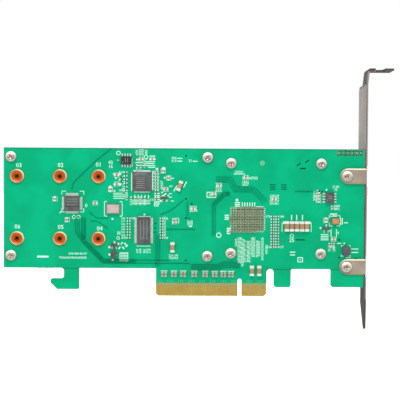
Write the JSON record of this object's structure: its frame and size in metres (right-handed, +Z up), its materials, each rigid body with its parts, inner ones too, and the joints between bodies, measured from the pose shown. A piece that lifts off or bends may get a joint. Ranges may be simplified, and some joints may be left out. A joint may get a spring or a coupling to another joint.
{
  "type": "nvme adapter card",
  "caption": "Expansion card with a gold edge connector, slot bracket, drive sockets with standoffs and finned heatsinks; it joins solid-state drives to a computer.",
  "frame": {"origin": "middle of the key notch, on the lower edge of the contact fingers, in the middle of the board's thickness", "axes": "+X along the board to the slot bracket, +Y out of the component side, +Z up from the fingers as the card stands in a computer"},
  "size_m": [0.1811, 0.0201, 0.1214],
  "materials": {
    "board": "satin",
    "gold": "polished",
    "bracket": "satin",
    "screw": "polished",
    "standoff": "satin",
    "heatsink": "satin",
    "thermal_pad": "matt",
    "chip": "matt",
    "substrate": "satin",
    "lid": "satin",
    "tin": "satin",
    "socket": "matt",
    "crystal_base": "satin",
    "resistor": "satin",
    "ceramic": "satin",
    "tantalum": "satin",
    "inductor": "matt",
    "can": "satin"
  },
  "bodies": {
    "root": {"circuit_board": "board", "edge_contacts_solder_side": "gold", "edge_contacts_component_side": "gold", "slot_bracket": "bracket", "bracket_screws": "screw", "bracket_nuts": "screw", "drive_standoffs": "standoff", "upper_drive_socket": "socket", "lower_drive_socket": "socket", "upper_socket_contacts": "gold", "lower_socket_contacts": "gold", "drive_heatsink": "heatsink", "drive_heatsink_screws": "screw", "drive_thermal_pads": "thermal_pad", "controller_heatsink": "heatsink", "controller_heatsink_screws": "screw", "controller_thermal_pad": "thermal_pad", "switch_chip_substrate": "substrate", "switch_chip_lid": "lid", "microcontroller": "chip", "microcontroller_leads": "tin", "power_monitor": "chip", "power_monitor_pads": "tin", "bus_expander": "chip", "bus_expander_leads": "tin", "memory_chip": "chip", "memory_chip_leads": "tin", "sensor_chip": "chip", "sensor_chip_leads": "tin", "transistors": "chip", "transistor_leads": "tin", "crystal_base": "crystal_base", "crystal_can": "lid", "chip_resistors": "resistor", "small_capacitors": "ceramic", "lane_capacitors": "ceramic", "decoupling_capacitors": "ceramic", "large_capacitors": "ceramic", "tantalum_capacitor": "tantalum", "diode": "chip", "power_choke": "inductor", "indicator_header": "socket", "indicator_header_pins": "gold", "power_inductors": "inductor", "can_capacitor_base": "socket", "can_capacitor": "can"}
  },
  "joints": []
}
